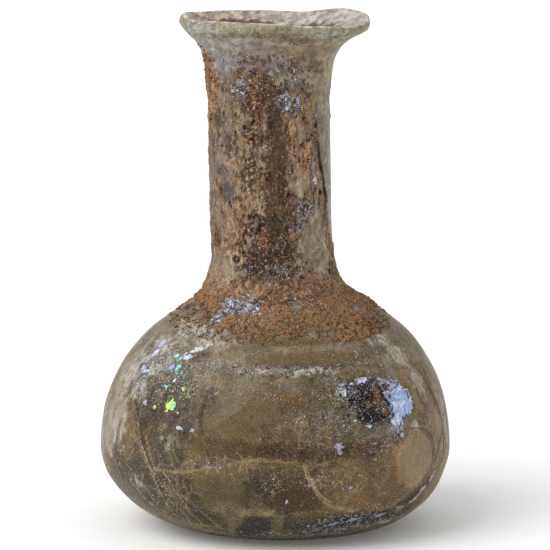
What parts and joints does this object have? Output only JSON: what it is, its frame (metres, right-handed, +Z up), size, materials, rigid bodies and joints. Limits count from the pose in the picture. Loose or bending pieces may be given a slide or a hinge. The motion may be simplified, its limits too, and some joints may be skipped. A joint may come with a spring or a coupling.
{
  "type": "ancient glass flask",
  "caption": "Small blown-glass flask with an uneven flared rim, a wide straight neck and a squat round body, weathered and crusted with burial soil; open and empty.",
  "frame": {"origin": "on the surface that the flask stands on, under the middle of the body", "axes": "+Z up through the neck; the side that the picture shows faces -Y, with +X to its right"},
  "size_m": [0.0689, 0.0688, 0.1009],
  "materials": {
    "weathered_glass": "clear olive-tinted glass, pitted and filmed with brown and iridescent weathering",
    "burial_soil": "rough, matt sandy brown crust"
  },
  "bodies": {
    "root": {"flask": "weathered_glass", "neck_lining": "burial_soil"}
  },
  "joints": []
}
